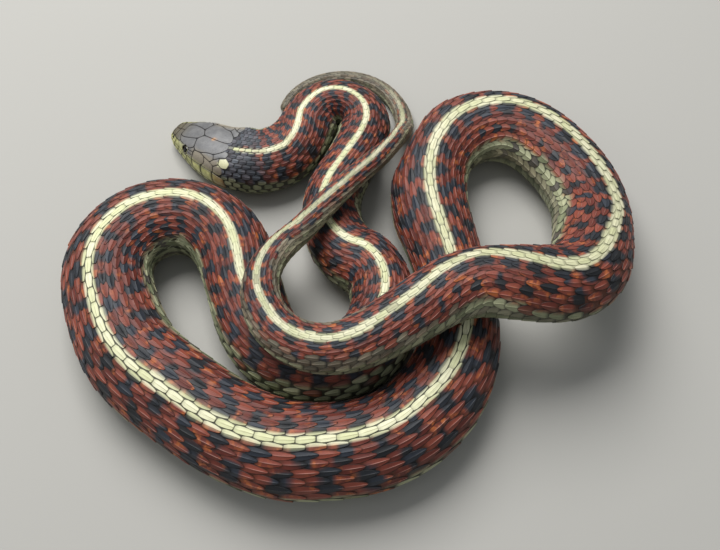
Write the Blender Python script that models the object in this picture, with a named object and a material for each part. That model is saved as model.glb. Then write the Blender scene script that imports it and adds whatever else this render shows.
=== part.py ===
"""A garter snake lying coiled on a flat floor, as a still life-size model.

The body is one long tube that follows a route over the floor.  The route is the line a
belt would take round a row of named bends, smoothed.  Where the hind body crosses the
fore body it rides over it, and the height comes from the girths of the two.  Lengths
that lie side by side share the room between them, as soft bodies do.

Everything is written in millimetres and turned into metres when the meshes are made.
+Z is up, the head points to -X, the far side of the loops is +Y.
"""
import bpy
import bmesh
import numpy as np
from math import pi, sin, cos

MM = 0.001

# Bends of the body's centre line seen from above, head to tail:
# centre x, centre y, radius, side (+1 turns left, -1 turns right).  The route runs from the
# head back to the tail, so its left is the animal's own right.
BENDS = [
    (-39.9, 34.2, 0.0, 1),     # snout
    (-21.0, 35.1, 11.6, 1),    # neck turns up the picture
    (-2.8, 33.8, 6.9, -1),     # tight hook behind the neck
    (13.8, 11.2, 18.2, 1),     # out of the hook, under the tail
    (-5.9, -10.9, 14.3, -1),   # inner coil
    (-36.9, -4.0, 13.7, 1),    # top of the left loop
    (-27.8, -11.1, 19.5, 1),   # left side of the left loop
    (0.7, 5.4, 49.6, 1),       # long front bend, left half
    (-2.8, -17.5, 24.9, 1),    # long front bend, right half
    (62.7, 21.0, 46.5, -1),    # rising length, nearly straight
    (31.9, 18.6, 14.7, -1),    # top of the right loop
    (32.7, 11.0, 18.6, -1),    # right side of the right loop
    (39.8, -4.1, 8.9, -1),     # turn back to the left
    (22.7, -15.0, 2.5, 1),     # slight bend over the rising length
    (-3.9, -12.3, 13.9, -1),   # hind coil, on top of the inner coil
    (-2.4, 35.3, 15.4, 1),     # tail round the outside of the hook
    (-15.7, 40.7, 0.0, 1),     # blunt end of the tail
]
EASE = 4.0          # how far each bend is eased into the next, along the body

# Girth: width of the body at a distance from the snout.
WIDTHS = [(0, 13.4), (20, 15.8), (27, 15.4), (38, 13.6), (51, 12.4), (69, 12.4), (84, 13.2), (98, 15.2),
          (122, 16.0), (152, 16.0), (175, 17.0), (196, 18.8), (221, 19.6), (257, 19.3),
          (280, 18.4), (304, 17.4), (333, 16.9), (392, 17.1), (414, 16.6), (428, 15.6),
          (441, 13.8), (454, 12.2), (467, 10.6), (480, 9.0), (490, 7.8), (500, 6.4),
          (510, 5.7), (534, 4.9), (559, 4.1), (578, 3.2), (591, 2.4)]
FLAT = 0.78         # height over width: a resting snake is wider than high
NECK_FLAT = 0.67    # the spread neck is flatter still
SPREAD_TO, SPREAD_FADE = 24.0, 20.0     # where the spread ends, and how gradually
LEVEL = 0.45        # height of the widest level, as a part of the height
BELLY = 1.12        # how far the round of the belly is cut flat (1 is not at all)
RIDE_FROM = 395.0   # the hind body rides over what it crosses from here on
CROSS_APART = 45.0  # lengths nearer along the body than this don't cross each other
DOWN_AT = 57.0      # length of tail that comes down to the floor again
CREST = 4.5         # bend over a crest, in body widths
RIDE_EASE = 0.35    # how far a crest is eased along the body, in body widths
RIDE_EASE_LEAST, RIDE_EASE_MOST = 1.5, 5.0
RAISED = 2.0        # underside higher than this counts as lying on another length
ON_FLOOR = 0.02     # underside lower than this lies on the floor
AIR = 0.4           # room between lengths that touch
BESIDE = 0.8        # a neighbour is abreast when this much of its distance is sideways
SAME_LEVEL = 0.3    # and when its level differs by less than this part of both heights
NEXT_ALONG = 8.0    # a point nearer along the body than this and a width is the same length
BEND_ROOM = 0.82    # half width inside a bend, as the most part of the bend's radius
SMOOTHINGS = 4
ROUTE_STEP = 1.0
FINE_STEP = 0.5     # of the route before it is eased
ARC_STEP = 0.25     # along each bend's arc
ALMOST_FULL = 5.5   # a bend that seems to turn further than this turns slightly back

# Where one named length ends and the next begins, in millimetres from the snout.
HEAD_END = 20.0
CUTS = [("neck", 20, 41), ("trunk_hook", 41, 64), ("trunk_under_tail", 64, 94),
        ("trunk_inner_coil_a", 94, 124), ("trunk_inner_coil_b", 124, 153),
        ("trunk_left_loop_a", 153, 184), ("trunk_left_loop_b", 184, 214),
        ("trunk_front_a", 214, 244), ("trunk_front_b", 244, 270), ("trunk_front_c", 270, 296),
        ("trunk_rise", 296, 328), ("trunk_right_loop_a", 328, 360),
        ("trunk_right_loop_b", 360, 392), ("trunk_turn", 392, 420), ("trunk_cross", 420, 448),
        ("trunk_hind_coil", 448, 480), ("tail_base", 480, 508), ("tail_middle", 508, 538),
        ("tail_bend", 538, 566), ("tail_end", 566, 592)]
SAW = 0.3           # width of the cut between two nodes
AROUND = 18         # sides of the tube
RING_STEP = 0.2     # distance between rings, in body widths

# Head: rows of distance from the snout, half widths of crown, lip and chin, and heights of
# crown, lip and chin.
HEAD = [
    (0.0, 1.0, 1.7, 1.2, 3.2, 2.20, 1.3),
    (0.6, 1.7, 2.5, 2.0, 3.8, 2.25, 0.8),
    (1.6, 2.2, 3.1, 2.7, 4.3, 2.30, 0.4),
    (3.2, 2.8, 3.7, 3.3, 5.2, 2.40, 0.15),
    (5.4, 3.6, 4.5, 4.0, 6.4, 2.55, 0.0),
    (7.6, 4.2, 5.3, 4.6, 7.4, 2.70, 0.0),
    (10.0, 4.5, 6.1, 5.0, 8.2, 2.90, 0.0),
    (13.0, 4.9, 6.8, 5.2, 8.9, 3.10, 0.0),
    (16.0, 5.5, 7.4, 5.3, 9.6, 3.40, 0.0),
    (18.5, 5.9, 7.7, 5.3, 10.1, 3.80, 0.0),
    (20.0, 6.0, 7.75, 5.2, 10.4, 4.10, 0.0),
]
LIP_GAP = 0.3       # between the closed jaws
EYE_AT = 7.1        # distance from the snout
EYE_OUT = 3.75      # from the middle line
EYE_UP = 4.8
EYE_R = 1.25
EYE_ROOM = 0.3
TAIL_ROUND = 1.3    # length of the tail's rounded end
TAIL_LIFT = 0.4     # how far up its height the tip closes
TAIL_RINGS = (0.7, 0.3, 0.06)       # last rings, in distance from the tip

# Half sections of the head, from the lip to the middle line.  Above the lip: how far from
# crown (0) to lip (1), times a factor or plus a swell, and how far up from lip to crown.
UPPER = [(1, 0.98, 0.0, 0.0), (1, 1, 0.0, 0.22), (0.5, 1, 0.25, 0.60), (0, 1, 0.0, 0.86)]
CROWN_EDGE, CROWN_SINK = 0.45, 0.03     # last point near the middle line, and how much lower
LOWER = [(1, 0.95, 0.0, 1.0), (0.5, 1, 0.2, 0.55), (0, 1, 0.0, 0.22), (0, 0.72, 0.0, 0.0)]


def resample(points, step):
    """The same line with evenly spaced points."""
    run = np.r_[0, np.cumsum(np.hypot(*np.diff(points, axis=0).T))]
    keep = np.r_[True, np.diff(run) > 1e-9]
    points, run = points[keep], run[keep]
    at = np.linspace(0, run[-1], int(round(run[-1] / step)) + 1)
    return np.stack([np.interp(at, run, points[:, 0]), np.interp(at, run, points[:, 1])], 1)


def belt_route():
    """Centre line of the body seen from above, one point each millimetre."""
    headings = []
    for (x0, y0, r0, s0), (x1, y1, r1, s1) in zip(BENDS, BENDS[1:]):
        gap = np.hypot(x1 - x0, y1 - y0)
        lean = np.arcsin(np.clip((s1 * r1 - s0 * r0) / gap, -0.999, 0.999))
        headings.append(np.arctan2(y1 - y0, x1 - x0) - lean)
    points = [BENDS[0][:2]]
    for i in range(1, len(BENDS) - 1):
        x, y, r, side = BENDS[i]
        start = headings[i - 1]
        turn = (side * (headings[i] - start)) % (2 * pi)
        if turn > ALMOST_FULL:
            turn -= 2 * pi
        for a in np.linspace(start, start + side * turn, max(2, int(abs(turn) * r / ARC_STEP) + 2)):
            points.append((x + side * r * sin(a), y - side * r * cos(a)))
    points.append(BENDS[-1][:2])
    line = resample(np.array(points, float), FINE_STEP)
    n = int(4 * EASE / FINE_STEP)
    bell = np.exp(-0.5 * (np.arange(-n, n + 1) * FINE_STEP / EASE) ** 2)
    bell /= bell.sum()
    line = np.vstack([2 * line[0] - line[n:0:-1], line, 2 * line[-1] - line[-2:-n - 2:-1]])
    eased = np.stack([np.convolve(line[:, k], bell, "valid") for k in (0, 1)], 1)
    return resample(eased, ROUTE_STEP)


def flatness(run):
    """Height over width along the body."""
    return NECK_FLAT + (FLAT - NECK_FLAT) * np.clip((run - SPREAD_TO) / SPREAD_FADE, 0, 1)


def ride_height(xy, run, width):
    """Height of the underside: the hind body rides over the lengths it crosses."""
    height = width * flatness(run)
    upper = run > RIDE_FROM
    apart = np.linalg.norm(xy[upper][:, None] - xy[None], axis=2)
    reach = (width[upper][:, None] + width[None]) / 2
    ahead = run[upper][:, None] - run[None]
    crosses = (ahead > CROSS_APART) & (run[None] < RIDE_FROM) & (apart < reach)
    over = np.sqrt(np.clip(1 - (apart / reach) ** 2, 0, 1))
    lift = height[None] / 2 + (height[upper][:, None] + height[None]) / 2 * over
    lift = np.where(crosses, lift - height[upper][:, None] / 2 + AIR, 0).max(axis=1)
    base = np.zeros(len(run))
    base[upper] = np.maximum(lift, 0)
    base[run > run[-1] - DOWN_AT] = 0
    along = run[:, None] - run[None]
    base = (base[None] - along ** 2 / (2 * CREST * width[None])).max(axis=1)
    ease = np.clip(RIDE_EASE * width, RIDE_EASE_LEAST, RIDE_EASE_MOST)[:, None]
    share = np.exp(-0.5 * (along / ease) ** 2)
    base = share @ np.maximum(base, 0) / share.sum(axis=1)
    base = base + AIR * np.clip(base - RAISED, 0, 1)
    return np.where(base < ON_FLOOR, 0, base)


def side_room(xy, run, width, base, normal, turn):
    """Half width to the route's left and right, less where a neighbour needs the room."""
    halves = []
    gap = np.linalg.norm(xy[:, None] - xy[None], axis=2)
    middle = base + width * FLAT / 2
    level = np.abs(middle[:, None] - middle[None])
    both = width[:, None] + width[None]
    far = np.abs(run[:, None] - run[None]) > 1.1 * both / 2 + NEXT_ALONG
    for side in (1, -1):
        across = ((xy[None] - xy[:, None]) * normal[:, None]).sum(axis=2) * side
        near = far & (across > BESIDE * gap) & (level < SAME_LEVEL * both * FLAT)
        share = (gap - AIR) * width[:, None] / both
        half = np.minimum(width / 2, np.where(near, share, np.inf).min(axis=1))
        inner = BEND_ROOM / np.maximum(side * turn, 1e-3)
        half = np.minimum(half, inner)
        k = np.array([0.25, 0.5, 0.25])
        for _ in range(SMOOTHINGS):
            half = np.minimum(half, np.convolve(np.pad(half, 1, "edge"), k, "valid"))
        halves.append(half)
    return halves


def body():
    """All that the tube needs, one value for each millimetre of the route."""
    xy = belt_route()
    run = np.r_[0, np.cumsum(np.hypot(*np.diff(xy, axis=0).T))]
    at, wide = np.array(WIDTHS, float).T
    width = np.interp(run, at, wide)
    tangent = np.gradient(xy, axis=0)
    tangent /= np.linalg.norm(tangent, axis=1)[:, None]
    normal = np.stack([-tangent[:, 1], tangent[:, 0]], 1)
    heading = np.unwrap(np.arctan2(tangent[:, 1], tangent[:, 0]))
    turn = np.gradient(heading, run)
    base = ride_height(xy, run, width)
    left, right = side_room(xy, run, width, base, normal, turn)
    return dict(xy=xy, run=run, width=width, normal=normal, base=base, left=left, right=right)


def at_run(b, s):
    """Values of the tube at a distance from the snout."""
    pick = {k: np.array([np.interp(s, b["run"], col) for col in np.atleast_2d(b[k].T)])
            for k in ("xy", "normal", "base", "width", "left", "right")}
    return pick["xy"], pick["normal"], *(float(pick[k][0]) for k in ("base", "width", "left", "right"))


def ring(b, s):
    """One cross-section: round above, belly cut flat, flat on the floor where it lies there."""
    xy, normal, base, width, left, right = at_run(b, s)
    past = (s - b["run"][-1] + TAIL_ROUND) / TAIL_ROUND
    blunt = (1 - min(past, 0.99) ** 2) ** 0.5 if past > 0 else 1.0
    left, right, high = left * blunt, right * blunt, width * flatness(s) * blunt
    base = base + TAIL_LIFT * width * FLAT * (1 - blunt)
    out = []
    for i in range(AROUND):
        a = 2 * pi * (i + 0.5) / AROUND
        half = left if sin(a) > 0 else right
        if cos(a) >= 0:
            z = LEVEL * high + (1 - LEVEL) * high * cos(a)
        else:
            z = max(0.0, LEVEL * high + BELLY * LEVEL * high * cos(a))
        x, y = xy + normal * half * sin(a)
        out.append((x * MM, y * MM, (base + z) * MM))
    return out


def make_mesh(name, rings, material):
    """A closed tube through the rings, with its caps."""
    bm = bmesh.new()
    rows = [[bm.verts.new(p) for p in r] for r in rings]
    n = len(rows[0])
    for a, c in zip(rows, rows[1:]):
        for i in range(n):
            j = (i + 1) % n
            bm.faces.new((a[i], c[i], c[j], a[j]))
    bm.faces.new(rows[0])
    bm.faces.new(rows[-1][::-1])
    bmesh.ops.recalc_face_normals(bm, faces=bm.faces)
    mesh = bpy.data.meshes.new(name)
    bm.to_mesh(mesh)
    bm.free()
    obj = bpy.data.objects.new(name, mesh)
    bpy.context.scene.collection.objects.link(obj)
    obj.data.materials.append(material)
    return obj


def make_material(name, rgb, rough):
    material = bpy.data.materials.new(name)
    material.use_nodes = True
    shader = material.node_tree.nodes["Principled BSDF"]
    shader.inputs["Base Color"].default_value = (*rgb, 1)
    shader.inputs["Roughness"].default_value = rough
    return material


def make_lengths(b, hide):
    """The named lengths of neck, trunk and tail, with a thin cut between each two."""
    for name, start, end in CUTS:
        tip = b["run"][-1]
        last = end > tip
        start, end = start + SAW / 2, (tip - TAIL_ROUND if last else end - SAW / 2)
        middle = at_run(b, (start + end) / 2)[3]
        count = max(4, int(round((end - start) / (RING_STEP * max(middle, 9.0)))))
        places = list(np.linspace(start, end, count + 1))
        if last:
            places += [tip - back for back in TAIL_RINGS]
        make_mesh(name, [ring(b, s) for s in places], hide)


def head_ring(b, row, upper):
    """Half of the head's cross-section: above the lip line or below it."""
    s, crown, lip, chin, z_crown, z_lip, z_chin = row
    xy, normal, *_ = at_run(b, s)
    edge, low, high, table = (crown, z_lip + LIP_GAP / 2, z_crown, UPPER) if upper else \
        (chin, z_chin, z_lip - LIP_GAP / 2, LOWER)
    shape = [((edge + mix * (lip - edge)) * factor + swell, low + up * (high - low))
             for mix, factor, swell, up in table]
    if upper:
        shape.append((CROWN_EDGE * crown, z_crown - CROWN_SINK))
    both = [(-x, z) for x, z in shape] + [(x, z) for x, z in shape[::-1]]
    return [(*(xy + normal * x) * MM, z * MM) for x, z in both]


def make_head(b, hide, eye_colour):
    """Upper head with eye sockets, lower jaw, and the two eyes."""
    rows = [r if r[0] < HEAD_END else (HEAD_END - SAW / 2, *r[1:]) for r in HEAD]
    upper = make_mesh("head", [head_ring(b, r, True) for r in rows], hide)
    make_mesh("lower_jaw", [head_ring(b, r, False) for r in rows], hide)
    xy, normal, *_ = at_run(b, EYE_AT)
    for name, side in (("eye_right", 1), ("eye_left", -1)):
        x, y = xy + normal * side * EYE_OUT
        for radius, label in ((EYE_R + EYE_ROOM, "socket"), (EYE_R, name)):
            bpy.ops.mesh.primitive_uv_sphere_add(segments=14, ring_count=8, radius=radius * MM,
                                                 location=(x * MM, y * MM, EYE_UP * MM))
            ball = bpy.context.object
            ball.name = label
            if label == name:
                ball.data.materials.append(eye_colour)
                continue
            cut = upper.modifiers.new(name + "_socket", "BOOLEAN")
            cut.operation = "DIFFERENCE"
            cut.solver = "EXACT"
            cut.object = ball
            bpy.context.view_layer.objects.active = upper
            bpy.ops.object.modifier_apply(modifier=cut.name)
            bpy.data.objects.remove(ball, do_unlink=True)


def main():
    for obj in list(bpy.data.objects):
        bpy.data.objects.remove(obj, do_unlink=True)
    hide = make_material("scaly_skin", (0.20, 0.07, 0.05), 0.55)
    eye_colour = make_material("eye", (0.02, 0.018, 0.015), 0.1)
    b = body()
    make_head(b, hide, eye_colour)
    make_lengths(b, hide)


main()
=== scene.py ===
"""A garter snake lying coiled on a pale floor: skin, scales, belly scutes, head shields and eyes.

The body's route and girth are the construction's own, in millimetres, so the skin runs
inside the solid lengths and the scales lie on it up to their surface.  A place on the
animal is told by s, its distance from the snout, and t, how far round the body it lies from
the top line, growing towards the animal's right.  On the head t is told by a level: 0 is
the top line, 1 the brow's edge, 2 the mouth, 3 the jaw's lower edge and 4 the throat.
"""

from math import radians

import bpy
import numpy as np
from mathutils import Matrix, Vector


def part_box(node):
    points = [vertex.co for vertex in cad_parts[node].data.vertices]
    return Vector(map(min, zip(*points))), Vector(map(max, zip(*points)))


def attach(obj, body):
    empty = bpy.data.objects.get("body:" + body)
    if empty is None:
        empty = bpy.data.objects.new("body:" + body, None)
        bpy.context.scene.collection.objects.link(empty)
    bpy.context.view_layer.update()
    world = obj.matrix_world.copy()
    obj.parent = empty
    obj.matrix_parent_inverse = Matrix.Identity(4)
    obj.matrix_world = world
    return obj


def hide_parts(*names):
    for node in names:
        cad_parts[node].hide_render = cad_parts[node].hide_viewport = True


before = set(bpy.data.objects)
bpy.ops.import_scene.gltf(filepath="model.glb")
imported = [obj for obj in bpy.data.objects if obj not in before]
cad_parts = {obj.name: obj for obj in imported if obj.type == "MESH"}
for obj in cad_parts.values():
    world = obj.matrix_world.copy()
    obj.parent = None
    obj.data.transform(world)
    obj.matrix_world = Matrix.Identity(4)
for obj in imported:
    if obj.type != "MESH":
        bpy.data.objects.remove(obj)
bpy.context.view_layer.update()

MM = 0.001

# The laid body, as it was constructed.
# Bends of the centre line seen from above, head to tail: centre x, centre y, radius, side
# (+1 turns left, -1 turns right).
BENDS = [
    (-39.9, 34.2, 0.0, 1),     # snout
    (-21.0, 35.1, 11.6, 1),    # neck
    (-2.8, 33.8, 6.9, -1),     # tight hook behind the neck
    (13.8, 11.2, 18.2, 1),     # out of the hook, under the tail
    (-5.9, -10.9, 14.3, -1),   # inner coil
    (-36.9, -4.0, 13.7, 1),    # top of the left loop
    (-27.8, -11.1, 19.5, 1),   # left side of the left loop
    (0.7, 5.4, 49.6, 1),       # long front bend, left half
    (-2.8, -17.5, 24.9, 1),    # long front bend, right half
    (62.7, 21.0, 46.5, -1),    # rising length, nearly straight
    (31.9, 18.6, 14.7, -1),    # top of the right loop
    (32.7, 11.0, 18.6, -1),    # right side of the right loop
    (39.8, -4.1, 8.9, -1),     # turn back to the left
    (22.7, -15.0, 2.5, 1),     # slight bend over the rising length
    (-3.9, -12.3, 13.9, -1),   # hind coil, on top of the inner coil
    (-2.4, 35.3, 15.4, 1),     # tail round the outside of the hook
    (-15.7, 40.7, 0.0, 1),     # blunt end of the tail
]
EASE = 4.0
ROUTE_STEP, FINE_STEP, ARC_STEP = 1.0, 0.5, 0.25
ALMOST_FULL = 5.5
WIDTHS = [(0, 13.4), (20, 15.8), (27, 15.4), (38, 13.6), (51, 12.4), (69, 12.4), (84, 13.2), (98, 15.2),
          (122, 16.0), (152, 16.0), (175, 17.0), (196, 18.8), (221, 19.6), (257, 19.3),
          (280, 18.4), (304, 17.4), (333, 16.9), (392, 17.1), (414, 16.6), (428, 15.6),
          (441, 13.8), (454, 12.2), (467, 10.6), (480, 9.0), (490, 7.8), (500, 6.4),
          (510, 5.7), (534, 4.9), (559, 4.1), (578, 3.2), (591, 2.4)]
FLAT, NECK_FLAT, SPREAD_TO, SPREAD_FADE = 0.78, 0.67, 24.0, 20.0
LEVEL, BELLY = 0.45, 1.12
RIDE_FROM, CROSS_APART, DOWN_AT, CREST = 395.0, 45.0, 57.0, 4.5
RIDE_EASE, RIDE_EASE_LEAST, RIDE_EASE_MOST, RAISED, ON_FLOOR, AIR = 0.35, 1.5, 5.0, 2.0, 0.02, 0.4
BESIDE, SAME_LEVEL, NEXT_ALONG, BEND_ROOM, SMOOTHINGS = 0.8, 0.3, 8.0, 0.82, 4
TAIL_ROUND, TAIL_LIFT = 1.3, 0.4

# The head: distance from the snout, half widths of crown, lip and chin, heights of the same.
HEAD = np.array([
    (0.0, 1.0, 1.7, 1.2, 3.2, 2.20, 1.3),
    (0.6, 1.7, 2.5, 2.0, 3.8, 2.25, 0.8),
    (1.6, 2.2, 3.1, 2.7, 4.3, 2.30, 0.4),
    (3.2, 2.8, 3.7, 3.3, 5.2, 2.40, 0.15),
    (5.4, 3.6, 4.5, 4.0, 6.4, 2.55, 0.0),
    (7.6, 4.2, 5.3, 4.6, 7.4, 2.70, 0.0),
    (10.0, 4.5, 6.1, 5.0, 8.2, 2.90, 0.0),
    (13.0, 4.9, 6.8, 5.2, 8.9, 3.10, 0.0),
    (16.0, 5.5, 7.4, 5.3, 9.6, 3.40, 0.0),
    (18.5, 5.9, 7.7, 5.3, 10.1, 3.80, 0.0),
    (20.0, 6.0, 7.75, 5.2, 10.4, 4.10, 0.0),
])
# Its half section from the crown's middle to the chin's: how much of the width, which two of
# crown, lip and chin it lies between (0 the first, 1 the second), a swell, and its height.
HEAD_ABOVE = [(0.45, 0, 0.0, 0.995), (1.0, 0, 0.0, 0.86), (1.0, 0.5, 0.25, 0.60), (1.0, 1, 0.0, 0.22)]
HEAD_BELOW = [(1.0, 0.5, 0.2, 0.55), (1.0, 0, 0.0, 0.22), (0.72, 0, 0.0, 0.0)]
LEVEL_POINTS = [2, 5, 7]    # which points of it are the brow's edge, the mouth and the jaw's edge
HEAD_TO_BODY = (16.0, 23.0)     # the head's section turns into the body's over this stretch
SNOUT_TIP, SNOUT_ROUND = -0.2, 0.8      # where the snout ends, and the length that is rounded

# The hide's table: how finely it is drawn up.
FINE_ROUND, ROUND = 480, 192    # points round a section, before and after it is made even
HEAD_STEP, BODY_STEP, HEAD_FINE_TO = 0.2, 0.5, 26.0
TIP_ROWS = (1.0, 0.75, 0.5, 0.3, 0.15, 0.05, 0.01)
SKIN_ROUND, SKIN_STEP = 96, 0.8
FLOOR_GAP = 0.02        # the weight presses the belly flat just above the floor

# Scales.  Row 0 is the stripe's own row; rows are counted to both sides.
ROWS = [(0, 23), (24, 23), (34, 21), (200, 21), (225, 19), (330, 19), (390, 17.5), (470, 16), (490, 13),
        (510, 11), (535, 9), (560, 8), (592, 6)]
MOST_ROWS = 11          # rows to each side of the stripe's own, at most
PITCH = [(0, 1.1), (14, 1.15), (20, 1.35), (30, 1.7), (50, 1.8), (75, 2.1), (90, 2.3), (125, 2.6),
         (205, 3.2), (235, 3.55), (265, 3.85), (285, 3.8), (300, 3.7), (325, 3.3), (345, 2.9),
         (360, 2.7), (430, 2.6), (455, 2.4), (480, 2.1), (510, 1.9), (592, 1.6)]
# How far the top line leans over to one side, in degrees, as the body rolls in its bends.
LEAN = [
    (0, 0), (28, -10), (38, 15), (50, 10),                      # head, nape and neck
    (62, 0), (80, -20),                                         # hook
    (95, 10), (110, -10), (130, -15), (155, 0),                 # under the tail, inner coil
    (175, -15), (190, -10), (212, -15), (240, -10), (262, 0),   # left loop, front bend
    (285, 5), (305, -10), (330, 0),                             # rising length
    (350, 5), (366, 20), (400, 30), (417, 0),                   # right loop and turn
    (437, -35), (450, -15), (470, -5), (485, -5),               # hind length and coil
    (503, 35), (520, 0), (530, 0), (542, 35), (553, 0), (562, -15), (592, -10),     # tail
]
BACK_SHARE = 0.66       # of the way round the body; the rest is belly scutes
ROW_NARROW = 0.78       # width of the upper rows, in mean row widths; the lowest are widest
COAT_SHARE = 0.16       # thickness of the coat, in mean row widths
SCALE_WIDER, APART_WIDER = 1.2, 1.04        # a scale's width, in its row's width
SCALE_LONGER, APART_LONGER = 1.32, 1.08     # and its length, in pitches; the rest lies under others
SCALE_FORWARD = 0.05    # share of the length by which the root is slid under the one before
# How far scales lie apart, so that skin shows between them: on the stripe, and elsewhere.
STRIPE_APART = [(22, 1), (30, 0.3), (180, 0.35), (205, 1), (430, 1), (445, 0.4),
                (592, 0.3)]
APART = [(22, 0.3), (30, 0)]
ROUNDED = [(24, 0.6), (34, 0)]      # how blunt the scales are, away from the stripe
CROWD_LEAST = [(0, 0.5), (110, 0.5), (150, 0.8), (320, 0.8), (350, 0.65), (400, 0.8)]
CROWD_MOST = 1.12       # how far a scale's length follows the bend, at least and at most
SIZE_JITTER = 0.035
BAKE_PATCH = 0.003      # width of a scale's patch on its map
SHARP = 38              # degrees; a fold sharper than this is an edge
NAPE_FROM = 14.8        # scales start here, wherever no head shield lies
STRETCHES = [("nape_and_neck", 12, 52), ("hook", 52, 96), ("inner_coil", 96, 156), ("left_loop", 156, 214),
             ("front_bend", 214, 272), ("rising_length", 272, 330), ("right_loop", 330, 392),
             ("hind_cross", 392, 450), ("hind_coil", 450, 500), ("tail", 500, 592)]
SCUTES_FROM, VENT = 15.0, 480.0
SCUTE_OVER = 1.1        # the scutes reach a little under the lowest rows

# Markings, in rows and in scales along the back.
CHECK = 1.85            # scales from one black check to the next
UPPER_CHECKS, LOWER_CHECKS, CHECK_HIGH = 2.2, 5.0, 1.45     # middle rows and height of the two runs
WITHIN_SCALE = 0.5      # how far a check's edge cuts through a scale, not round it
STRIPE = [(17, 0.3), (21, 0.45), (25, 0.62), (34, 0.68), (50, 0.75), (90, 0.82), (160, 0.82), (200, 0.88), (230, 0.86),
          (290, 0.86), (330, 0.9), (400, 0.95), (440, 0.85), (500, 0.85), (525, 0.68), (592, 0.68)]
# Where the side stripe starts, as a share of the rows, on the animal's left and right.
SIDE_STRIPE = ([(0, 0.62), (24, 0.66), (36, 0.76), (52, 0.74), (60, 0.64), (78, 0.64), (88, 0.76), (200, 0.76),
                 (250, 0.82), (320, 0.82), (340, 0.73),
                (400, 0.75), (420, 0.82), (500, 0.8)],
               [(0, 0.62), (24, 0.66), (36, 0.76), (100, 0.76), (115, 0.7), (160, 0.7), (180, 0.74),
                (200, 0.76), (250, 0.82), (330, 0.86), (440, 0.84), (500, 0.8)])

DIM_FROM = [(430, 9), (448, 6.6), (465, 4.6), (500, 4.4), (530, 5.6), (550, 3.4)]    # rows that turn olive

# Head shields.  Each outline is told by distance from the snout and level.  Those of the
# middle are half outlines from the middle line round to it again.
MIDDLE_SHIELDS = {
    "rostral": (0, [(0.42, 0), (0.36, 0.8), (0.6, 1.3), (0.75, 1.92), (-0.19, 1.94)]),
    "frontal": (0, [(3.0, 0), (3.1, 0.55), (4.4, 0.58), (8.15, 0.31), (9.2, 0)]),
    "mental": (4, [(0.95, 4), (0.8, 3.0), (0.75, 2.1), (-0.19, 2.08)]),
}
SIDE_SHIELDS = {
    "internasal": [(0.42, 0), (0.36, 0.8), (0.6, 0.98), (1.55, 0.93), (1.7, 0)],
    "prefrontal": [(1.7, 0), (1.55, 0.93), (2.2, 1.0), (3.8, 1.03), (4.0, 0.9), (3.1, 0.55), (3.0, 0)],
    "supraocular": [(3.1, 0.55), (4.4, 0.58), (8.15, 0.31), (9.0, 0.8), (8.4, 0.93), (7.6, 1.0), (6.2, 1.0),
                    (4.4, 0.95), (4.0, 0.9)],
    "parietal": [(9.2, 0), (8.15, 0.31), (9.0, 0.8), (9.5, 0.92), (11.2, 0.88), (12.6, 0.74), (14.2, 0.68),
                 (15.2, 0.52), (16.2, 0.34), (16.6, 0.14), (16.0, 0)],
    "fore_nasal": [(0.6, 0.98), (1.35, 0.94), (1.4, 1.49), (0.68, 1.51), (0.6, 1.3)],
    "hind_nasal": [(1.35, 0.94), (1.55, 0.93), (2.2, 1.0), (2.6, 1.02), (2.6, 1.46), (1.4, 1.49)],
    "loreal": [(2.6, 1.02), (3.8, 1.03), (4.5, 1.43), (2.6, 1.46)],
    "preocular": [(4.0, 0.9), (4.4, 0.95), (6.2, 1.0), (6.7, 1.1), (6.5, 1.42), (4.5, 1.43), (3.8, 1.03)],
    "upper_postocular": [(7.6, 1.0), (8.4, 0.93), (9.0, 0.8), (9.5, 0.92), (9.4, 1.06), (7.8, 1.06)],
    "middle_postocular": [(7.8, 1.06), (9.4, 1.06), (9.5, 1.23), (7.8, 1.2)],
    "lower_postocular": [(7.8, 1.2), (9.5, 1.23), (9.4, 1.42), (7.2, 1.41), (7.2, 1.2)],
    "temporal_1": [(9.5, 0.92), (11.2, 0.88), (12.5, 0.97), (12.9, 1.2), (12.3, 1.38), (9.4, 1.42), (9.5, 1.23)],
    "temporal_2_upper": [(11.2, 0.88), (12.6, 0.74), (14.2, 0.68), (14.7, 0.88), (14.1, 1.03), (12.5, 0.97)],
    "temporal_2_lower": [(12.5, 0.97), (14.1, 1.03), (15.1, 1.12), (15.2, 1.37), (12.3, 1.38), (12.9, 1.2)],
    "temporal_3_upper": [(14.2, 0.68), (15.2, 0.52), (16.2, 0.34), (17.1, 0.42), (17.0, 0.62), (15.8, 0.71),
                         (14.7, 0.88)],
    "temporal_3_middle": [(14.7, 0.88), (15.8, 0.71), (16.0, 0.98), (15.1, 1.12), (14.1, 1.03)],
    "temporal_pale": [(15.8, 0.71), (17.0, 0.62), (18.0, 0.8), (17.7, 1.02), (16.8, 1.06), (16.0, 0.98)],
    "temporal_3_lower": [(15.1, 1.12), (16.0, 0.98), (16.8, 1.06), (17.1, 1.24), (16.7, 1.38), (15.2, 1.37)],
    "fore_chin_shield": [(1.6, 4), (1.9, 3.05), (3.4, 2.98), (5.6, 3.2), (5.8, 4)],
    "hind_chin_shield": [(5.8, 4), (5.6, 3.2), (8.2, 3.1), (9.8, 3.5), (9.4, 4)],
}
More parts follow.
